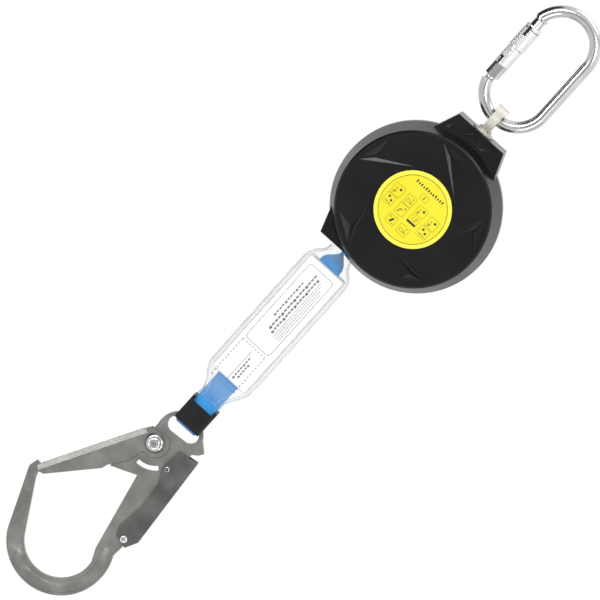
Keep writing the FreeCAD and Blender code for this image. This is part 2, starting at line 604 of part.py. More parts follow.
def channel(name, outline, spine_line, hole):
    """Two cheeks either side of the hook's plate, joined by a web along spine_line, a run of corners."""
    inside = D.hook_thickness / 2 + D.cheek_gap
    thick = D.cheek_thickness
    cheeks = [plate(f"{name}_{side}_cheek", [outline], "Dims.cheek_thickness", [hole], sign * (inside + thick / 2))
              for side, sign in (("front", -1), ("rear", 1))]
    web = plate(f"{name}_web", [spine_line], 2 * (inside + thick))
    return fuse(f"{name}_solid", *cheeks, web)


def shoulder_cutter(name, start, end, side):
    """A box whose face slopes across the gate's top corner: it takes 5 mm off the cheek's face, 1.7 mm deep."""
    along = Vector(end[0] - start[0], 0, end[1] - start[1])
    run = along.Length
    along.normalize()
    outward = Vector(along.z, 0, -along.x)
    across = Vector(0, side, 0)
    normal = (outward * 1.7 + across * 5.0).normalize()
    turn = Rotation(along, Vector(), normal, "XZY")
    cutter = doc.addObject("Part::Box", name)
    bind(cutter, Length=run + 12, Width=30, Height=8)
    corner = Vector(start[0], side * (D.hook_thickness / 2 + D.cheek_gap + D.cheek_thickness - 1.7), start[1])
    base = corner - along * 6 - turn.multVec(Vector(0, 15, 0))
    cutter.Placement = Placement(base, turn)
    return cutter


def hook_pieces():
    gate_web = [(-27, -19), (-34, -27.5), (-62, -69), (-88, -108.5), (-86.4, -109.6), (-60.3, -70.2), (-32.3, -28.6),
                (-26, -21)]
    gate = channel("gate", GATE_OUTLINE, gate_web, (*PIVOT, 4.06))
    shoulders = [shoulder_cutter(f"shoulder_{index}_{side}", start, end, side)
                 for index, (start, end) in enumerate(zip(GATE_RIDGE, GATE_RIDGE[1:])) for side in (-1, 1)]
    finish(cut("gate_shouldered", gate, *shoulders), "hook_gate", HOOK, HOOK_TURN)
    lever_web = [(32, -20), (32, -119), (30.2, -119), (30.2, -20)]
    lever = channel("lever", LEVER_OUTLINE, lever_web, (*LEVER_PIVOT, 3.06))
    stud_hole = rod_y("stud_hole", 2.0, -9, 9, 11.1, -43.3)
    finish(cut("lever_cut", lever, stud_hole), "lock_lever", HOOK, HOOK_TURN)

    outside = D.hook_thickness / 2 + D.cheek_gap + D.cheek_thickness
    def rivet(node, radius, head, x, z, gap):
        """A shank with a domed head each side."""
        pieces = [rod_y(f"{node}_shank", radius, -outside - gap, outside + gap, x, z)]
        for side in (-1, 1):
            ball = doc.addObject("Part::Sphere", f"{node}_dome_{side}")
            bind(ball, Radius=head * 1.25)
            depth = head * 1.25 - head * 0.5
            ball.Placement = Placement(Vector(x, side * (outside + gap - depth), z), UPRIGHT)
            low, high = sorted((side * (outside + gap), side * (outside + gap + head)))
            zone = box(f"{node}_zone_{side}", (x - 20, low, z - 20), (x + 20, high, z + 20))
            pieces.append(common(f"{node}_head_{side}", ball, zone))
        finish(fuse(f"{node}_solid", *pieces), node, HOOK, HOOK_TURN)

    rivet("gate_rivet", 4.0, 10.3, *PIVOT, 0.25)
    rivet("lever_rivet", 3.0, 4.4, *LEVER_PIVOT, 0.25)
    studs = []
    for side in (-1, 1):
        low, high = sorted((side * (D.hook_thickness / 2 + 0.35), side * (outside + 1.0)))
        studs.append(rod_y(f"stud_{side}", 2.0, low, high, 11.1, -43.3))
    finish(fuse("studs_solid", *studs), "lever_studs", HOOK, HOOK_TURN)


for build in (carabiner, lock_sleeve, swivel, covers, chassis, drum, lock, power_spring, webbing_run, webbing_lead,
              pack, loop_and_guard, hook, hook_pieces):
    build()
doc.recompute()

failed = [obj.Name for obj in doc.Objects if {"Invalid", "Error"} & set(obj.State)]
failed += [node for node, obj in nodes.items() if obj.Shape.isNull() or not obj.Shape.isValid()]
if failed:
    raise SystemExit(f"failed objects: {failed}")
for node, obj in nodes.items():
    obj.Shape.exportStep(f"parts/{node}.step")
    print(f"{node:20s} {obj.Shape.Volume:12.1f} mm3, {len(obj.Shape.Solids)} solid(s)")
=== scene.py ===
"""Self retracting lifeline hanging from its carabiner: finishes, webbing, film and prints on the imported
model."""
import bpy
import bmesh
import json
import math
import numpy as np
from mathutils import Matrix, Vector


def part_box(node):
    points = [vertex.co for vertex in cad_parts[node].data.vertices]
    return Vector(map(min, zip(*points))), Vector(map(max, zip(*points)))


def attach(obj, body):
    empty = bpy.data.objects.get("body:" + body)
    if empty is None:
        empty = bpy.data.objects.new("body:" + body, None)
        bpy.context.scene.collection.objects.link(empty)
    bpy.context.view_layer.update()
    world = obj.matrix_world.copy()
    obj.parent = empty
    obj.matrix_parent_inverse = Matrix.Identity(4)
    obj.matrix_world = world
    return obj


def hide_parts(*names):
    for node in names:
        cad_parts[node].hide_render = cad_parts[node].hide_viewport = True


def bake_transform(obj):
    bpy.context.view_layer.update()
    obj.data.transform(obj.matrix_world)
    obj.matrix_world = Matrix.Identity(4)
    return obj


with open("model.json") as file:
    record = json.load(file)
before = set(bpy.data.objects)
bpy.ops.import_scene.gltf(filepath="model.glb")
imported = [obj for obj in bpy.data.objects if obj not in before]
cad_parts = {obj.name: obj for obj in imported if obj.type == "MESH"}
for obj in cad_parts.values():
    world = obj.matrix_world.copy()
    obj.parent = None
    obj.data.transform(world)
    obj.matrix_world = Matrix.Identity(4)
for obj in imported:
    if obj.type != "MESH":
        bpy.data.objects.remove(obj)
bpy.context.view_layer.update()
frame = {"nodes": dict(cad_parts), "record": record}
MM = 0.001
BODIES = frame["record"]["behaviour"]["bodies"]
SLOTS = {entry["node"]: entry["material_slot"] for entry in frame["record"]["subparts"]}
BODY_OF = {node: body for body, nodes in BODIES.items() for node in nodes}


def middle(node):
    low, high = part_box(node)
    return (Vector(low) + Vector(high)) / 2


# Reference places, all read from the frame

LABEL_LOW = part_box("front_label")[0]
HOUSING = Vector((middle("front_label").x, 0.0, middle("front_label").z))
LINE_X = middle("pack_film").x
SLEEVE_LOW, SLEEVE_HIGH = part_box("lock_sleeve")
FOLLOWER_LOW, FOLLOWER_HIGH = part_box("sleeve_follower")
LEAD_LOW, LEAD_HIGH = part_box("webbing_lead")
LOOP_LOW, LOOP_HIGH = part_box("webbing_loop")
SHEET_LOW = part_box("pack_label")[0]


# Shader node groups

def socket(group, name, direction, kind="NodeSocketFloat", value=None):
    made = group.interface.new_socket(name=name, in_out=direction, socket_type=kind)
    if value is not None:
        made.default_value = value
    return made


def node(tree, kind, **settings):
    made = tree.nodes.new(kind)
    for key, value in settings.items():
        setattr(made, key, value)
    return made


def math_node(tree, operation, first, second=None):
    made = node(tree, "ShaderNodeMath", operation=operation)
    for index, value in enumerate((first, second)):
        if value is None:
            continue
        if isinstance(value, (int, float)):
            made.inputs[index].default_value = value
        else:
            tree.links.new(value, made.inputs[index])
    return made.outputs[0]


def noise_group():
    """Two scales of noise on Object coordinates: Broad for blotches, Fine for grain."""
    group = bpy.data.node_groups.new("surface_noise", "ShaderNodeTree")
    socket(group, "Broad Scale", "INPUT", value=25.0)
    socket(group, "Fine Scale", "INPUT", value=600.0)
    socket(group, "Broad", "OUTPUT")
    socket(group, "Fine", "OUTPUT")
    source, sink = node(group, "NodeGroupInput"), node(group, "NodeGroupOutput")
    place = node(group, "ShaderNodeTexCoord")
    for name in ("Broad", "Fine"):
        noise = node(group, "ShaderNodeTexNoise")
        noise.inputs["Detail"].default_value = 4.0
        group.links.new(place.outputs["Object"], noise.inputs["Vector"])
        group.links.new(source.outputs[name + " Scale"], noise.inputs["Scale"])
        group.links.new(noise.outputs[0], sink.inputs[name])
    return group


def weave_group():
    """Webbing on the piece's own UV map, in metres: a herringbone of yarns, as a height from 0 to 1."""
    group = bpy.data.node_groups.new("webbing_weave", "ShaderNodeTree")
    socket(group, "Yarns Per Metre", "INPUT", value=900.0)
    socket(group, "Height", "OUTPUT")
    source, sink = node(group, "NodeGroupInput"), node(group, "NodeGroupOutput")
    place = node(group, "ShaderNodeTexCoord")
    split = node(group, "ShaderNodeSeparateXYZ")
    group.links.new(place.outputs["UV"], split.inputs[0])
    pitch = math_node(group, "MULTIPLY", source.outputs[0], 2 * math.pi)
    zigzag = math_node(group, "PINGPONG", split.outputs[0], 0.0032)
    slanted = math_node(group, "ADD", split.outputs[1], zigzag)
    rows = math_node(group, "SINE", math_node(group, "MULTIPLY", slanted, pitch))
    columns = math_node(group, "SINE", math_node(group, "MULTIPLY", split.outputs[0], pitch))
    both = math_node(group, "ADD", rows, math_node(group, "MULTIPLY", columns, 0.6))
    height = math_node(group, "MULTIPLY_ADD", both, 0.3)
    height.node.inputs[2].default_value = 0.5
    group.links.new(height, sink.inputs[0])
    return group


NOISE, WEAVE = noise_group(), weave_group()


# Materials

def new_material(name, **values):
    material = bpy.data.materials.new(name)
    material.use_nodes = True
    shader = material.node_tree.nodes["Principled BSDF"]
    for key, value in values.items():
        target = shader.inputs[key.replace("_", " ")]
        target.default_value = (*value, 1.0) if isinstance(value, tuple) else value
    return material, material.node_tree, shader


def spread(tree, value, low, high):
    """Map a 0.3 to 0.7 noise to the range low to high."""
    ramp = node(tree, "ShaderNodeMapRange")
    for index, number in enumerate((0.3, 0.7, low, high), start=1):
        ramp.inputs[index].default_value = number
    tree.links.new(value, ramp.inputs[0])
    return ramp.outputs[0]


def tint(tree, shader, factor, first, second):
    mix = node(tree, "ShaderNodeMix", data_type="RGBA")
    tree.links.new(factor, mix.inputs[0])
    mix.inputs[6].default_value = (*first, 1.0)
    mix.inputs[7].default_value = (*second, 1.0)
    tree.links.new(mix.outputs[2], shader.inputs["Base Color"])


def bump(tree, shader, height, distance, strength=1.0):
    made = node(tree, "ShaderNodeBump")
    made.inputs["Strength"].default_value = strength
    made.inputs["Distance"].default_value = distance
    tree.links.new(height, made.inputs["Height"])
    tree.links.new(made.outputs[0], shader.inputs["Normal"])


def noisy(name, dark, light, rough, grain, broad=25.0, fine=600.0, **values):
    """A finish whose colour and roughness drift over the piece, with a fine grain in its bump."""
    material, tree, shader = new_material(name, **values)
    noise = node(tree, "ShaderNodeGroup", node_tree=NOISE)
    noise.inputs["Broad Scale"].default_value = broad
    noise.inputs["Fine Scale"].default_value = fine
    tint(tree, shader, spread(tree, noise.outputs["Broad"], 0.0, 1.0), dark, light)
    tree.links.new(spread(tree, noise.outputs["Broad"], *rough), shader.inputs["Roughness"])
    bump(tree, shader, noise.outputs["Fine"], grain)
    return material


def cloth(name, dark, light, yarns, depth, **values):
    material, tree, shader = new_material(name, Roughness=0.62, Sheen_Weight=0.35, Sheen_Roughness=0.4,
                                          **values)
    weave = node(tree, "ShaderNodeGroup", node_tree=WEAVE)
    weave.inputs[0].default_value = yarns
    tint(tree, shader, weave.outputs[0], dark, light)
    bump(tree, shader, weave.outputs[0], depth)
    return material


def clear_film():
    """Thin clear film: nearly clear face on, milky where it turns away or creases."""
    material, tree, shader = new_material("clear_film", Base_Color=(0.86, 0.87, 0.88), Roughness=0.09,
                                          IOR=1.45,
                                          Coat_Weight=0.6, Coat_Roughness=0.04)
    facing = node(tree, "ShaderNodeLayerWeight")
    facing.inputs["Blend"].default_value = 0.45
    noise = node(tree, "ShaderNodeGroup", node_tree=NOISE)
    noise.inputs["Broad Scale"].default_value = 60.0
    noise.inputs["Fine Scale"].default_value = 220.0
    milky = math_node(tree, "MULTIPLY_ADD", facing.outputs["Facing"], 0.62)
    milky.node.inputs[2].default_value = 0.03
    tree.links.new(milky, shader.inputs["Alpha"])
    bump(tree, shader, noise.outputs["Broad"], 0.0006, 0.6)
    return material


def sleeve_steel():
    """Satin nickel with painted shade: near black in the cut slots, window and groove, and darker in the knurl's
    valleys; the piece's own UV map holds both, as U and V."""
    material, tree, shader = new_material("sleeve_steel", Metallic=0.6)
    noise = node(tree, "ShaderNodeGroup", node_tree=NOISE)
    noise.inputs["Fine Scale"].default_value = 1200.0
    place, split = node(tree, "ShaderNodeTexCoord"), node(tree, "ShaderNodeSeparateXYZ")
    tree.links.new(place.outputs["UV"], split.inputs[0])
    # painted shade in the knurl's valleys, read from the UV map's V
    knurl = math_node(tree, "MULTIPLY", split.outputs["Y"], 0.6)
    shade = math_node(tree, "MAXIMUM", split.outputs["X"], knurl)
    # painted shade: the nickel colour falls to near black in the slots, window and groove and darkens in the
    # knurl's valleys
    tint(tree, shader, shade, (0.84, 0.84, 0.83), (0.012, 0.012, 0.013))
    tree.links.new(spread(tree, noise.outputs["Broad"], 0.24, 0.32), shader.inputs["Roughness"])
    bump(tree, shader, noise.outputs["Fine"], 0.00003)
    return material


MATERIALS = {
    "bright_steel": noisy("bright_steel", (0.62, 0.63, 0.64), (0.74, 0.75, 0.75), (0.12, 0.2), 0.00002, 40,
                          900,
                          Metallic=1.0),
    "sleeve_steel": sleeve_steel(),
    "swivel_steel": noisy("swivel_steel", (0.54, 0.52, 0.45), (0.64, 0.62, 0.54), (0.34, 0.46), 0.00006, 60,
                          1400,
                          Metallic=0.35),
    "black_plastic": noisy("black_plastic", (0.005, 0.005, 0.006), (0.008, 0.008, 0.009), (0.2, 0.27),
                           0.00003, 18,
                           1500, Specular_IOR_Level=0.3),
    "yellow_label": noisy("yellow_label", (0.76, 0.66, 0.014), (0.8, 0.7, 0.02), (0.35, 0.42), 0.00001, 20,
                          700),
    "white_label": noisy("white_label", (0.93, 0.93, 0.94), (0.97, 0.97, 0.97), (0.45, 0.55), 0.00002, 15,
                         500),
    "chassis_steel": noisy("chassis_steel", (0.42, 0.43, 0.43), (0.56, 0.56, 0.56), (0.3, 0.45), 0.00005,
                           50, 900,
                           Metallic=1.0),
    "spring_steel": noisy("spring_steel", (0.16, 0.17, 0.21), (0.26, 0.27, 0.3), (0.25, 0.4), 0.00003, 60,
                          900,
                          Metallic=1.0),
    "drum_aluminium": noisy("drum_aluminium", (0.66, 0.67, 0.68), (0.78, 0.79, 0.8), (0.3, 0.4), 0.00004,
                            50, 900,
                            Metallic=1.0),
    "bronze": noisy("bronze", (0.48, 0.3, 0.13), (0.62, 0.42, 0.2), (0.3, 0.45), 0.00004, 60, 900,
                    Metallic=1.0),
    "blue_webbing": cloth("blue_webbing", (0.01, 0.19, 0.55), (0.04, 0.4, 0.85), 800, 0.00025),
    "absorber_fabric": cloth("absorber_fabric", (0.62, 0.64, 0.67), (0.84, 0.85, 0.87), 700, 0.0002),
    "clear_film": clear_film(),
    "guard_plastic": noisy("guard_plastic", (0.005, 0.005, 0.006), (0.009, 0.009, 0.01), (0.35, 0.45),
                           0.0001, 30, 1300,
                           Specular_IOR_Level=0.25),
    "hook_steel": noisy("hook_steel", (0.21, 0.214, 0.198), (0.28, 0.284, 0.266), (0.36, 0.5), 0.00006, 45,
                        1500,
                        Metallic=0.85),
    "lever_steel": noisy("lever_steel", (0.12, 0.12, 0.115), (0.17, 0.17, 0.163), (0.34, 0.48), 0.00006, 45,
                         1500,
                         Metallic=0.85),
    "print_ink": noisy("print_ink", (0.012, 0.012, 0.01), (0.03, 0.03, 0.025), (0.5, 0.6), 0.00001),
    "ochre_ink": noisy("ochre_ink", (0.22, 0.18, 0.008), (0.3, 0.25, 0.012), (0.5, 0.6), 0.00001),
    "pale_ink": noisy("pale_ink", (0.84, 0.76, 0.05), (0.87, 0.79, 0.07), (0.4, 0.5), 0.00001),
    "grey_ink": noisy("grey_ink", (0.1, 0.1, 0.11), (0.15, 0.15, 0.16), (0.5, 0.6), 0.00001),
}

for name, obj in frame["nodes"].items():
    obj.data.materials.clear()
    obj.data.materials.append(MATERIALS[SLOTS[name]])


# Building helpers

def add_piece(name, mesh, body, slot, material=None, smooth=True):
    piece = bpy.data.objects.new(name, mesh)
    bpy.context.scene.collection.objects.link(piece)
    mesh.materials.clear()
    mesh.materials.append(MATERIALS[material or slot])
    if smooth:
        mesh.shade_smooth()
    if body:
        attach(piece, body)
    return piece


def grid_mesh(name, points, uv=None, caps=True):
    """A closed tube from points[rows, columns, 3]: the columns go round, the rows go along."""
    rows, columns = points.shape[:2]
    index = np.arange(rows * columns).reshape(rows, columns)
    right = np.roll(index, -1, axis=1)
    faces = np.stack([index[:-1], right[:-1], right[1:], index[1:]], axis=-1).reshape(-1, 4).tolist()
    if caps:
        faces += [index[0][::-1].tolist(), index[-1].tolist()]
    mesh = bpy.data.meshes.new(name)
    mesh.from_pydata(points.reshape(-1, 3).tolist(), [], faces)
    if uv is not None:
        layer = mesh.uv_layers.new(name="UVMap")
        corner = np.empty(len(mesh.loops), np.int32)
        mesh.loops.foreach_get("vertex_index", corner)
        layer.data.foreach_set("uv", uv.reshape(-1, 2)[corner].astype(np.float32).ravel())
    fix_normals(mesh)
    return mesh


def fix_normals(mesh):
    work = bmesh.new()
    work.from_mesh(mesh)
    bmesh.ops.recalc_face_normals(work, faces=work.faces)
    work.to_mesh(mesh)
    work.free()


def soften(node_name, width, crease, segments=2):
    """A copy of a CAD piece, merged and with its sharp edges rounded to a small radius; it takes the
    piece's place."""
    mesh = frame["nodes"][node_name].data.copy()
    work = bmesh.new()
    work.from_mesh(mesh)
    bmesh.ops.remove_doubles(work, verts=work.verts, dist=2e-6)
    bmesh.ops.dissolve_limit(work, angle_limit=math.radians(1.0), verts=work.verts, edges=work.edges)
    bmesh.ops.recalc_face_normals(work, faces=work.faces)
    work.to_mesh(mesh)
    work.free()
    piece = add_piece(node_name + "_finish", mesh, BODY_OF[node_name], SLOTS[node_name], smooth=False)
    bevel = piece.modifiers.new("edge", "BEVEL")
    bevel.width = width
    bevel.segments = segments
    bevel.limit_method = "ANGLE"
    bevel.angle_limit = math.radians(28)
    bevel.use_clamp_overlap = True
    bevel.harden_normals = True
    mesh.shade_smooth()
    mesh.set_sharp_from_angle(angle=math.radians(crease))
    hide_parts(node_name)
    return piece


# Edge width in millimetres, and the angle in degrees above which an edge stays crisp
SOFT_EDGES = {"front_cover": (0.6, 7.5), "rear_cover": (0.6, 7.5), "hook_body": (0.8, 40),
              "hook_gate": (0.7, 12),
              "lock_lever": (0.7, 40), "webbing_guard": (0.9, 40), "swivel_eye": (0.7, 40),
              "carabiner_gate": (0.35, 30), "carabiner_body": (0.4, 30), "swivel_washer": (0.3, 30)}
for name, (width, crease) in SOFT_EDGES.items():
    soften(name, width * MM, crease)


# Prints: thin closed prisms standing a hair in front of the surface they are printed on

def rounded_loop(x0, x1, z0, z1, radius, steps=5):
    """Points round a rectangle with its corners turned on quarter circles."""
    loop = []
    for cx, cz, start in ((x1 - radius, z1 - radius, 0), (x0 + radius, z1 - radius, 90),
                          (x0 + radius, z0 + radius, 180), (x1 - radius, z0 + radius, 270)):
        for step in range(steps + 1):
            angle = math.radians(start + 90 * step / steps)
            loop.append((cx + radius * math.cos(angle), cz + radius * math.sin(angle)))
    return loop


def disc_loop(x, z, radius, count=24):
    return [(x + radius * math.cos(2 * math.pi * k / count), z + radius * math.sin(2 * math.pi * k / count))
            for k in range(count)]


def prisms(name, shapes, front, back, origin):
    """Closed prisms between two depths, in millimetres about an origin: each shape is (outer loop, hole or
    None)."""
    verts, faces = [], []
    for outer, hole in shapes:
        base, count = len(verts), len(outer)
        rings = [outer, outer] + ([hole, hole] if hole else [])
        for ring, depth in zip(rings, (front, back, front, back)):
            verts += [(x * MM + origin.x, depth * MM, z * MM + origin.z) for x, z in ring]
        for k in range(count):
            n = (k + 1) % count
            outer_front, outer_back = base, base + count
            faces.append((outer_front + k, outer_back + k, outer_back + n, outer_front + n))
            if hole:
                hole_front, hole_back = base + 2 * count, base + 3 * count
                faces.append((hole_front + k, hole_front + n, hole_back + n, hole_back + k))
                faces.append((outer_front + k, outer_front + n, hole_front + n, hole_front + k))
                faces.append((outer_back + n, outer_back + k, hole_back + k, hole_back + n))
        if not hole:
            faces.append(tuple(range(base, base + count)))
            faces.append(tuple(range(base + 2 * count - 1, base + count - 1, -1)))
    mesh = bpy.data.meshes.new(name)
    mesh.from_pydata(verts, [], faces)
    fix_normals(mesh)
    return mesh


def line_frame(x0, x1, z0, z1, radius, width):
    return (rounded_loop(x0, x1, z0, z1, radius),
            rounded_loop(x0 + width, x1 - width, z0 + width, z1 - width, max(radius - width, 0.05)))


def bar(x0, x1, z0, z1):
    return (rounded_loop(x0, x1, z0, z1, min(x1 - x0, z1 - z0) * 0.25, 2), None)


def print_piece(name, shapes, surface, origin, body, slot, ink):
    """The ink stands 0.05 mm proud of the printed face, which lies at the depth given, and sinks 0.05 mm
    into it."""
    return add_piece(name, prisms(name, shapes, surface - 0.05, surface + 0.05, origin), body, slot, ink,
                     smooth=False)


SYMBOL_BOXES = [(-29.7, -17.7, -1.5, 10.7), (-30, -18.7, -13, -2), (-13.3, -2.5, -1, 10.3),
                (-14, -2.7, -13.4, -1.5),
                (-14.3, -4, -26.6, -16.5), (-3.4, 5.4, 12.8, 19.4), (2.3, 13.9, -1.3, 8.7),
                (2, 13, -12.5, -3.2),
                (0.4, 12, -27, -16.8), (18.5, 29.8, -4, 7.9), (17, 28.4, -15.7, -4.5)]
SYMBOLS = ["dot", "pair", "frame", "zigzag", "slant", "drop", "dot", "figure", "frame", "dot", "pair"]


def symbol(kind, x0, x1, z0, z1):
    """A made-up pictogram inside one box: dots, short bars and small frames."""
    w, h = x1 - x0, z1 - z0
    at = lambda u, v: (x0 + u * w, z0 + v * h)
    dot = lambda u, v, r: (disc_loop(*at(u, v), r, 16), None)
    stick = lambda u, v, a, b: bar(*(at(u, v)[0], at(u + a, v)[0]), *(at(u, v)[1], at(u, v + b)[1]))
    marks = {
        "dot": [dot(0.68, 0.68, 1.35), stick(0.16, 0.3, 0.3, 0.07), stick(0.16, 0.16, 0.2, 0.07),
                stick(0.3, 0.5, 0.06, 0.22)],
        "pair": [dot(0.36, 0.72, 1.25), dot(0.7, 0.5, 1.25), stick(0.2, 0.2, 0.34, 0.07),
                 stick(0.62, 0.16, 0.2, 0.07)],
        "frame": [line_frame(*(at(0.2, 0)[0], at(0.52, 0)[0]), *(at(0, 0.25)[1], at(0, 0.6)[1]), 0.3, 0.35),
                  stick(0.6, 0.3, 0.24, 0.07), stick(0.6, 0.46, 0.16, 0.07), dot(0.72, 0.76, 0.7)],
        "zigzag": [stick(0.15, 0.2, 0.22, 0.07), stick(0.32, 0.2, 0.06, 0.3), stick(0.32, 0.46, 0.3, 0.07),
                   dot(0.74, 0.72, 0.75)],
        "slant": [(  [at(0.3, 0.25), at(0.52, 0.25), at(0.74, 0.75), at(0.52, 0.75)], None),
                  stick(0.66, 0.2, 0.2, 0.06),
                  stick(0.14, 0.7, 0.2, 0.06)],
        "drop": [stick(0.46, 0.5, 0.09, 0.26), dot(0.52, 0.36, 0.8)],
        "figure": [bar(x0 + 0.2, x1 - 0.2, z0 + 0.25, z0 + 2.5), dot(0.3, 0.62, 0.6), dot(0.7, 0.72, 0.8),
                   stick(0.46, 0.45, 0.3, 0.07)],
    }
    return marks[kind]


def label_text_row(x0, x1, z, height, count, gap=0.5):
    """A row of plain bars of unequal length, standing where a line of writing would be."""
    steps = np.linspace(x0, x1, count + 1)
    tall = [height * (1.0 if k % 4 == 0 else 0.66 + 0.1 * (k % 3)) for k in range(count)]
    return [bar(a, b - gap, z, z + t) for a, b, t in zip(steps[:-1], steps[1:], tall)]


FACE = LABEL_LOW.y / MM
RINGS = [("label_pale_ring", 38.8, 35.0, "pale_ink"), ("label_thin_ring", 34.9, 34.1, "ochre_ink")]
for name, outer, inner, ink in RINGS:
    print_piece(name, [(disc_loop(0, 0, outer, 96), disc_loop(0, 0, inner, 96))], FACE, HOUSING, "housing",
                "yellow_label", ink)
print_piece("label_frames", [line_frame(*place, 0.9, 0.4) for place in SYMBOL_BOXES], FACE, HOUSING,
            "housing",
            "yellow_label", "ochre_ink")
print_piece("label_symbols",
            [mark for kind, place in zip(SYMBOLS, SYMBOL_BOXES) for mark in symbol(kind, *place)],
            FACE, HOUSING, "housing", "yellow_label", "print_ink")
print_piece("label_row", label_text_row(-16, 20, 23.0, 3.6, 12, 1.5), FACE, HOUSING, "housing",
            "yellow_label",
            "print_ink")


def rear_prints():
    shapes = [line_frame(-38, 38, -28, 28, 2.0, 0.5), bar(-36, 36, 18.5, 19)]
    for row in range(7):
        z = 12 - 5 * row
        shapes += label_text_row(-34, -34 + 60 - 7 * (row % 3), z, 1.7, 16 - 2 * (row % 3))
    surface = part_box("rear_label")[1].y / MM
    print_piece("rear_label_prints", shapes, surface, HOUSING, "housing", "white_label", "print_ink")


rear_prints()


# Webbing

def strap(name, centres, across, through, width, thick, edge=0.35, cross=12):
    """A woven strap along a path: centres, and unit vectors across its width and through its thickness, row
    by row. Its section is a flat bar with round edges. The weave runs along the path by arc length."""
    rows = len(centres)
    half_w, half_t = width / 2, thick / 2
    round_end = np.linspace(-math.pi / 2, math.pi / 2, 5)
    flat = np.linspace(-1, 1, cross)
    right = np.stack([half_w - half_t + half_t * np.cos(round_end), half_t * np.sin(round_end)], -1)
    top = np.stack([-flat[1:-1] * (half_w - half_t), np.full(cross - 2, half_t)], -1)
    section = np.concatenate([right, top, -right, -top])
    points = (centres[:, None] + across[:, None] * section[None, :, :1] + through[:, None] * section[None,
        :, 1:])
    steps = np.linalg.norm(np.diff(centres, axis=0), axis=1)
    along = np.concatenate([[0], np.cumsum(steps)])
    uv = np.stack(np.broadcast_arrays(section[None, :, 0], along[:, None]), -1)
    return grid_mesh(name, points, uv)


def webbing_lead_piece():
    """The strap leaves the housing edge on and makes a quarter turn to lie flat in the pack: angle = 90
    degrees times one minus a smooth step from 0 at the top to 1 at the bottom."""
    rows = 60
    t = np.linspace(0, 1, rows)
    z = LEAD_HIGH.z + (LEAD_LOW.z - LEAD_HIGH.z) * t
    angle = math.pi / 2 * (1 - t * t * (3 - 2 * t))
    centres = np.stack([np.full(rows, LINE_X), np.zeros(rows), z], -1)
    across = np.stack([np.cos(angle), np.sin(angle), np.zeros(rows)], -1)
    through = np.stack([-np.sin(angle), np.cos(angle), np.zeros(rows)], -1)
    piece = add_piece("webbing_lead_strap",
                      strap("webbing_lead_strap", centres, across, through, 25 * MM, 1.8 * MM),
                      None, "blue_webbing")
    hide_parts("webbing_lead")
    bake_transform(piece)


def webbing_loop_piece():
    """Down the front ply, half round the hook's bar and up the rear ply, as one strap: the path is two
    straights joined to an arc of 9.1 mm by smooth steps of the half spacing."""
    bar_z = LOOP_LOW.z + 10.6 * MM
    arc_radius, ply = 9.1 * MM, 1.55 * MM
    down = np.linspace(LOOP_HIGH.z, bar_z, 70)
    blend_step = np.clip((down - (bar_z + 3 * MM)) / (29 * MM), 0, 1)
    blend_step = blend_step * blend_step * (3 - 2 * blend_step)
    reach = arc_radius + (ply - arc_radius) * blend_step
    turn = np.linspace(0, math.pi, 41)[1:-1]
    y = np.concatenate([-reach, -arc_radius * np.cos(turn), reach[::-1]])
    z = np.concatenate([down, bar_z - arc_radius * np.sin(turn), down[::-1]])
    centres = np.stack([np.full(len(y), LINE_X), y, z], -1)
    along = np.gradient(centres, axis=0)
    along /= np.linalg.norm(along, axis=1)[:, None]
    across = np.tile([1.0, 0, 0], (len(y), 1))
    mesh = strap("webbing_loop_strap", centres, across, np.cross(along, across), 25 * MM, 2.6 * MM)
    piece = add_piece("webbing_loop_strap", mesh, "pack", "blue_webbing")
    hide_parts("webbing_loop")


ABSORBER_POWER = 5
FILM_POWER = 3.6


def absorber_piece():
    """The folded tear webbing: a rounded block whose sides show six folds. Section: a superellipse of power
    5 in half width and half depth; the half width also swells as the sine of the depth at each fold."""
    low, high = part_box("absorber_webbing")
    rows, columns = 90, 96
    t = np.linspace(0, 1, rows)[:, None]
    angle = np.linspace(0, 2 * math.pi, columns, endpoint=False)[None, :]
    power = 2 / ABSORBER_POWER
    c, s = np.cos(angle), np.sin(angle)
    half_w, half_d = (high.x - low.x) / 2, (high.y - low.y) / 2
    ends = np.clip(np.minimum(t, 1 - t) / 0.04, 0, 1) ** 0.5
    y = half_d * np.sign(s) * np.abs(s) ** power * (0.9 + 0.1 * ends)
    fold = 0.55 * MM * np.sin(2 * math.pi * y / (half_d / 3))
    side = np.abs(c) ** 1.5
    x = np.sign(c) * np.abs(c) ** power * (half_w - 0.6 * MM) * (0.94 + 0.06 * ends) + np.sign(c) * side * fold
    z = low.z + (high.z - low.z) * t + np.zeros_like(x)
    points = np.stack([x + middle("absorber_webbing").x, y, z], -1)
    uv = np.stack(np.broadcast_arrays(x + y, z), -1)
    piece = add_piece("absorber_folds", grid_mesh("absorber_folds", points, uv), "pack", "absorber_fabric")
    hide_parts("absorber_webbing")


FILM_PROFILE = np.array([(-85, 14.5, 12.2), (-90, 14.5, 11.4), (-95, 19, 10.6), (-101, 25, 10.6),
                         (-108, 27.2, 11.4),
                         (-116, 27.5, 12), (-160, 27.5, 12), (-200, 27.5, 12), (-240, 27.4, 12),
                         (-254, 26.6, 11.5),
                         (-262, 23, 10), (-268, 18, 8), (-274, 15, 6.2), (-279, 14.2, 5.2),
                         (-284, 15.4, 5.6)], float)


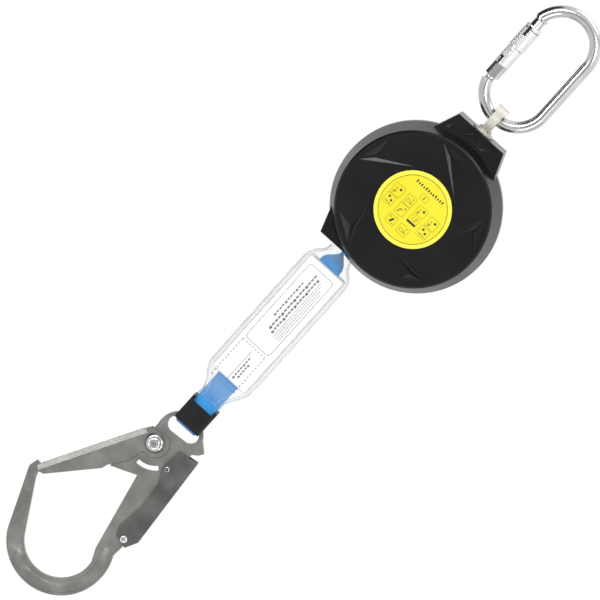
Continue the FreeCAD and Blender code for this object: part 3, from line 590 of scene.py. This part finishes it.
def film_piece():
    """A heat-shrunk bag: a superellipse section whose half width and half depth follow a profile along the
    pack, with long folds that gather towards both ends and slanting creases over the middle."""
    rows, columns = 260, 220
    u = np.linspace(FILM_PROFILE[0, 0], FILM_PROFILE[-1, 0], rows)
    heights = FILM_PROFILE[::-1, 0]
    width = np.interp(u, heights, FILM_PROFILE[::-1, 1])
    depth = np.interp(u, heights, FILM_PROFILE[::-1, 2])
    kernel = np.hanning(15) / np.hanning(15).sum()
    width = np.convolve(np.pad(width, 7, "edge"), kernel, "valid")[:, None]
    depth = np.convolve(np.pad(depth, 7, "edge"), kernel, "valid")[:, None]
    u = u[:, None]
    angle = np.linspace(0, 2 * math.pi, columns, endpoint=False)[None, :]
    c, s = np.cos(angle), np.sin(angle)
    power = 2 / FILM_POWER
    upper, lower = np.clip((u + 112) / 22, 0, 1), np.clip((-250 - u) / 26, 0, 1)
    gather = upper ** 1.5 + lower ** 1.5
    pleats = np.sin(11 * angle + 0.10 * u) * 0.5 + np.sin(19 * angle - 0.16 * u + 1.3) * 0.35
    creases = (np.sin(0.21 * u + 3 * c + 2.2 * s) * np.sin(0.057 * u + 5 * angle)) * 0.28
    fine = np.sin(0.55 * u + 9 * c) * np.cos(0.31 * u + 7 * s) * 0.09
    inward = 0.45 + gather * 0.75
    shrink = 1.0 - (inward - pleats * gather - creases - fine) / np.maximum(width, depth * 2)
    x = np.sign(c) * np.abs(c) ** power * width * shrink
    y = np.sign(s) * np.abs(s) ** power * depth * (1.0 - (inward * 0.4 - (pleats * gather + creases) * 0.5) / depth)
    z = np.broadcast_to(u * MM + HOUSING.z, x.shape)
    points = np.stack([x * MM + LINE_X, y * MM, z], -1)
    uv = np.stack(np.broadcast_arrays(angle * 0.02, z), -1)
    piece = add_piece("pack_film_bag", grid_mesh("pack_film_bag", points, uv, caps=False), "pack",
                      "clear_film")
    wall = piece.modifiers.new("wall", "SOLIDIFY")
    wall.thickness = 0.25 * MM
    wall.offset = -1
    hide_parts("pack_film")


webbing_lead_piece()
webbing_loop_piece()
absorber_piece()
film_piece()


# The label inside the pack

def dashed_box(x0, x1, z0, z1, dash, width):
    """A rectangle drawn in dashes of one length with equal gaps."""
    shapes = []
    for fixed in (z0, z1):
        for a in np.arange(x0, x1 - dash * 0.5, dash * 2):
            shapes.append(bar(a, min(a + dash, x1), fixed - width / 2, fixed + width / 2))
    for fixed in (x0, x1):
        for a in np.arange(z0, z1 - dash * 0.5, dash * 2):
            shapes.append(bar(fixed - width / 2, fixed + width / 2, a, min(a + dash, z1)))
    return shapes


def column_of_marks(x, tall, z0, z1, count):
    """Plain marks of unequal size one after another along the pack, where a line of writing would be."""
    steps = np.linspace(z0, z1, count + 1)
    return [bar(x, x + tall * (1.0 if k % 4 == 0 else 0.7), a, b - 1.0)
            for k, (a, b) in enumerate(zip(steps[:-1], steps[1:]))]


def pack_prints():
    line = Vector((LINE_X, 0, HOUSING.z))
    surface = SHEET_LOW.y / MM
    frame_line = line_frame(-16.5, 15, -210, -111.5, 3.5, 0.5)
    print_piece("pack_label_frame", [frame_line], surface, line, "pack", "white_label", "grey_ink")
    rows = [(-9.5, 2.0, -175, -130, 11), (-4.5, 2.6, -188, -116, 16), (0.0, 2.6, -190, -118, 17)]
    shapes = [mark for x, tall, z0, z1, count in rows for mark in column_of_marks(x, tall, z0, z1, count)]
    shapes += [bar(x, x + 0.45, -192, -120 - 3 * k) for k, x in enumerate((4.6, 6.9, 9.2, 11.5))]
    shapes += dashed_box(-16.5, 13, -260, -213, 2.0, 0.9)
    shapes.append(bar(-1.6, -1.1, -256, -217))
    shapes += column_of_marks(1.4, 2.0, -250, -222, 7) + column_of_marks(5.0, 2.0, -246, -228, 5)
    print_piece("pack_label_rows", shapes, surface, line, "pack", "white_label", "grey_ink")


pack_prints()


# Knurled sleeves

KNURL_COUNT = 24
KNURL_SLOPE = 0.62
KNURL_DEPTH = 0.55 * MM

def smooth_window(value, low, high, soft):
    """1 between low and high, falling smoothly to 0 over the soft distance outside."""
    rise = np.clip((value - low) / soft + 1, 0, 1)
    fall = np.clip((high - value) / soft + 1, 0, 1)
    return rise * rise * (3 - 2 * rise) * fall * fall * (3 - 2 * fall)


def triangle(value):
    return 1 - 2 * np.abs(value - np.floor(value) - 0.5)


def sleeve_ring(name, low, high, bore, relief, rows=170, columns=352):
    """A sleeve turned about the gate's axis. Outer radius = the plain radius, less a quarter-round at both
    ends, plus a diamond knurl: the product of two triangle waves along plus and minus 32 degree helices,
    only on the outer half. relief(angle, height) returns the depth cut inwards, in metres, for slots,
    grooves and windows."""
    centre = (low + high) / 2
    radius = (high.x - low.x) / 2
    angle = np.linspace(0, 2 * math.pi, columns, endpoint=False)[None, :]
    z = np.linspace(low.z, high.z, rows)[:, None]
    end = np.minimum(z - low.z, high.z - z)
    corner = 0.8 * MM
    gap = np.clip(corner - end, 0, corner)
    rounding = corner - np.sqrt(corner ** 2 - gap ** 2)
    arc, pitch = angle * radius, 2 * math.pi * radius / KNURL_COUNT
    waves = triangle((arc + z * KNURL_SLOPE) / pitch) * triangle((arc - z * KNURL_SLOPE) / pitch)
    outer_half = smooth_window(angle, math.radians(112), math.radians(262), math.radians(3))
    band = smooth_window(z, low.z + 1.6 * MM, high.z - 2.2 * MM, 0.3 * MM)
    cut_in = relief(angle, z)
    knurl = KNURL_DEPTH * (waves - 0.9) * outer_half * band * (cut_in < 0.1 * MM)
    outside = radius - rounding + knurl - cut_in
    inside = np.full((2, columns), bore)
    r = np.concatenate([outside, inside])
    heights = np.concatenate([np.broadcast_to(z, outside.shape), np.full((1, columns), high.z),
                              np.full((1, columns), low.z)])
    points = np.stack([centre.x + r * np.cos(angle), centre.y + r * np.sin(angle), heights], -1)
    points = np.concatenate([points, points[:1]])
    # The UV map carries painted shade: U darkens the cut slots, window and groove, V darkens the knurl's valleys
    marks = np.zeros((len(points), columns, 2))
    marks[:len(outside), :, 0] = np.clip(cut_in / (0.9 * MM), 0, 1)
    marks[:len(outside), :, 1] = outer_half * band * np.clip(1.0 - 2.2 * waves, 0, 1)
    mesh = grid_mesh(name, points, marks, caps=False)
    work = bmesh.new()
    work.from_mesh(mesh)
    bmesh.ops.remove_doubles(work, verts=work.verts, dist=1e-7)
    bmesh.ops.recalc_face_normals(work, faces=work.faces)
    work.to_mesh(mesh)
    work.free()
    piece = add_piece(name, mesh, BODY_OF[name.removesuffix("_knurled")], "sleeve_steel")
    mesh.set_sharp_from_angle(angle=math.radians(50))
    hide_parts(name.removesuffix("_knurled"))


def upper_relief(angle, z):
    """A groove near the top and a small window in front."""
    groove = 0.5 * MM * smooth_window(z, SLEEVE_HIGH.z - 4.7 * MM, SLEEVE_HIGH.z - 3.6 * MM, 0.15 * MM)
    window = smooth_window(angle, math.radians(238), math.radians(262), math.radians(1.2))
    window = window * smooth_window(z, SLEEVE_HIGH.z - 12.4 * MM, SLEEVE_HIGH.z - 1.4 * MM, 0.2 * MM)
    return np.maximum(groove, 2.1 * MM * window)


def lower_relief(angle, z):
    """A hooked slot that opens at the lower end: one upright leg and one short leg turned to the side."""
    upright = smooth_window(angle, math.radians(228), math.radians(244), math.radians(1.2))
    upright = upright * smooth_window(z, FOLLOWER_LOW.z - 1 * MM, FOLLOWER_LOW.z + 8.6 * MM, 0.2 * MM)
    side = smooth_window(angle, math.radians(206), math.radians(244), math.radians(1.2))
    side = side * smooth_window(z, FOLLOWER_LOW.z + 6.2 * MM, FOLLOWER_LOW.z + 8.6 * MM, 0.2 * MM)
    return 1.2 * MM * np.maximum(upright, side) * np.ones_like(angle + z)


SLEEVE_BORE = 6.2 * MM
sleeve_ring("lock_sleeve_knurled", SLEEVE_LOW, SLEEVE_HIGH, SLEEVE_BORE, upper_relief)
sleeve_ring("sleeve_follower_knurled", FOLLOWER_LOW, FOLLOWER_HIGH, SLEEVE_BORE, lower_relief, rows=130)


# Turned details

def turned(name, outline, origin, body, slot, count=64, material=None):
    """A solid turned about an axis along Y: outline is (radius, depth) in millimetres, from the front to
    the back."""
    angle = np.linspace(0, 2 * math.pi, count, endpoint=False)[None, :]
    line = np.array(outline, float)
    x = line[:, :1] * np.cos(angle)
    z = line[:, :1] * np.sin(angle)
    y = np.broadcast_to(line[:, 1:], x.shape)
    points = np.stack([x * MM + origin[0], y * MM + origin[1], z * MM + origin[2]], -1)
    piece = add_piece(name, grid_mesh(name, points), body, slot, material)
    piece.data.set_sharp_from_angle(angle=math.radians(35))
    return piece


def ring_dome(radius, height, base):
    """A rivet head: a domed rim, a shallow ring groove and a dimple in the middle, from the axis
    outwards."""
    steps = np.linspace(0, 1, 40)
    r = 0.05 + (radius - 0.05) * steps
    dome = height * np.sqrt(np.clip(1 - (steps * 0.98) ** 4, 0, 1))
    groove = 0.35 * height * np.exp(-((steps - 0.62) / 0.06) ** 2)
    dimple = 0.55 * height * np.exp(-(steps / 0.22) ** 2)
    return [(a, base - b) for a, b in zip(r, dome - groove - dimple)]


def rivet_head(name, source, radius, height, body, slot):
    centre = middle(source)
    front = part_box(source)[0].y / MM + height
    outline = ring_dome(radius, height, front) + [(radius, front + 0.5), (0.05, front + 0.5)]
    turned(name, outline, (centre.x, 0, centre.z), body, slot)


rivet_head("gate_rivet_dome", "gate_rivet", 8.2, 0.9, "hook", "bright_steel")
rivet_head("carabiner_rivet_dome", "carabiner_rivet", 4.1, 0.7, "carabiner", "bright_steel")
rivet_head("lever_stud_dome", "lever_studs", 2.6, 0.8, "hook", "bright_steel")
rivet_head("lever_rivet_dome", "lever_rivet", 3.6, 0.6, "hook", "bright_steel")


def ridge(name, corners, depth, radius, body, slot, rows=48, columns=16):
    """A raised rib on a flat face: a round tube along a smooth curve through the corners, thinner at both
    ends as the square root of the distance left, half sunk into the face."""
    knots = np.array(corners, float)
    t = np.linspace(0, len(knots) - 1, rows)
    x, z = [np.interp(t, np.arange(len(knots)), knots[:, axis]) for axis in (0, 1)]
    kernel = np.hanning(13) / np.hanning(13).sum()
    x, z = [np.convolve(np.pad(line, 6, "edge"), kernel, "valid") for line in (x, z)]
    run = np.stack([np.gradient(x), np.gradient(z)], -1)
    run /= np.linalg.norm(run, axis=1)[:, None]
    share = np.linspace(0, 1, rows)
    size = (radius * np.sqrt(np.clip(np.minimum(share, 1 - share) / 0.2, 0.02, 1)))[:, None]
    angle = np.linspace(0, 2 * math.pi, columns, endpoint=False)[None, :]
    px = x[:, None] - run[:, 1:] * size * np.cos(angle)
    pz = z[:, None] + run[:, :1] * size * np.cos(angle)
    py = depth + size * 0.8 * np.sin(angle)
    points = np.stack([px * MM + HOUSING.x, py * MM, pz * MM + HOUSING.z], -1)
    return add_piece(name, grid_mesh(name, points), body, slot)


LUG_FACE = -16.2
ridge("lug_curl", [(-11, 87.4), (-8.2, 91.2), (-5.6, 94), (-1.6, 94.4), (2, 92.6), (5, 90.2), (8, 88.6)],
      LUG_FACE, 1.0,
      "housing", "black_plastic")


# Camera, floor and light

# The room's brightness from straight down (0) to straight up (1)
SKY = [(0.0, 0.75), (0.4, 0.9), (0.7, 1.0), (0.84, 0.7), (1.0, 1.0)]
# Darker parts of the room: (axis of Incoming, where the fade starts, where it ends, grey)
DARK_WALLS = [("Y", 0.9, 0.975, 0.42), ("X", 0.6, 0.74, 0.05)]


# Below the hook with all of the webbing paid out
FLOOR_Z = -3.7


def stage_scene():
    bpy.ops.mesh.primitive_plane_add(size=30, location=(0, 0, FLOOR_Z))
    floor = bpy.context.object
    floor.name = "floor"
    material, tree, shader = new_material("floor_pale", Base_Color=(0.9, 0.9, 0.9), Roughness=0.9,
                                          Emission_Color=(1.0, 1.0, 1.0))
    seen = node(tree, "ShaderNodeLightPath")
    tree.links.new(math_node(tree, "MULTIPLY", seen.outputs["Is Camera Ray"], 0.8),
                   shader.inputs["Emission Strength"])
    floor.data.materials.append(material)
    world = bpy.data.worlds.new("studio")
    bpy.context.scene.world = world
    world.use_nodes = True
    tree = world.node_tree
    background = tree.nodes["Background"]
    geometry, path = node(tree, "ShaderNodeNewGeometry"), node(tree, "ShaderNodeLightPath")
    split = node(tree, "ShaderNodeSeparateXYZ")
    tree.links.new(geometry.outputs["Incoming"], split.inputs[0])
    ramp = node(tree, "ShaderNodeValToRGB")
    tilt = math_node(tree, "MULTIPLY_ADD", split.outputs["Z"], -0.5)
    tilt.node.inputs[2].default_value = 0.5
    tree.links.new(tilt, ramp.inputs[0])
    while len(ramp.color_ramp.elements) < len(SKY):
        ramp.color_ramp.elements.new(0.5)
    for element, (place, grey) in zip(ramp.color_ramp.elements, SKY):
        element.position = place
        element.color = (grey, grey, grey, 1)
    shade = ramp.outputs[0]
    for axis, start, end, grey in DARK_WALLS:
        fade = node(tree, "ShaderNodeMapRange", interpolation_type="SMOOTHSTEP")
        fade.inputs["From Min"].default_value = start
        fade.inputs["From Max"].default_value = end
        tree.links.new(split.outputs[axis], fade.inputs["Value"])
        wall = node(tree, "ShaderNodeMix", data_type="RGBA")
        tree.links.new(fade.outputs[0], wall.inputs[0])
        tree.links.new(shade, wall.inputs[6])
        wall.inputs[7].default_value = (grey, grey, grey, 1)
        shade = wall.outputs[2]
    mix = node(tree, "ShaderNodeMix", data_type="RGBA")
    tree.links.new(path.outputs["Is Camera Ray"], mix.inputs[0])
    tree.links.new(shade, mix.inputs[6])
    mix.inputs[7].default_value = (1, 1, 1, 1)
    tree.links.new(mix.outputs[2], background.inputs["Color"])


def area_light(name, place, target, size, watts):
    data = bpy.data.lights.new(name, "AREA")
    data.shape = "RECTANGLE"
    data.size, data.size_y = size
    data.energy = watts
    light = bpy.data.objects.new(name, data)
    bpy.context.scene.collection.objects.link(light)
    light.location = place
    light.rotation_euler = (Vector(target) - Vector(place)).to_track_quat("-Z", "Y").to_euler()


def camera(centre, distance, view_width, roll_right, pitch, turn_right):
    """Looks along +Y from a little above and to the right, rolled so that the frame's right edge lies along
    the given direction in XZ."""
    right = Vector(roll_right).normalized()
    back = Vector((0, -1, 0))
    up = back.cross(right)
    turn = Matrix.Rotation(math.radians(turn_right), 3, "Z") @ Matrix.Rotation(math.radians(pitch), 3, "X")
    basis = Matrix((right, up, back)).transposed()
    data = bpy.data.cameras.new("camera")
    data.sensor_width = 36
    data.lens = 36 * distance / view_width
    made = bpy.data.objects.new("camera", data)
    bpy.context.scene.collection.objects.link(made)
    turned_basis = turn @ basis
    made.matrix_world = Matrix.Translation(Vector(centre) + turned_basis.col[2] * distance) @ turned_basis.to_4x4()
    bpy.context.scene.camera = made


# Name, place, target, size and watts
LIGHTS = [
    ("key", (-0.95, -2.1, 0.65), (0, 0, -0.4), (0.8, 0.8), 15),
    ("side", (0.95, -2.1, 0.4), (0, 0, -0.4), (0.5, 0.7), 8),
    ("low", (0.9, -1.2, -0.75), (0, 0, -0.4), (0.4, 0.8), 3),
    ("top", (0.2, 0.3, 1.4), (0, 0, -0.3), (1.4, 1.0), 9),
    ("edge", (-1.53, -2.05, -0.16), (-0.02, 0, -0.65), (0.6, 0.9), 14),
]

stage_scene()
for light in LIGHTS:
    area_light(*light)
camera((-0.0239, 0, -0.391), 12.0, 0.5955, (0.745, 0, 0.67), -8.2, 1.3)
bpy.context.scene.view_settings.view_transform = "Standard"
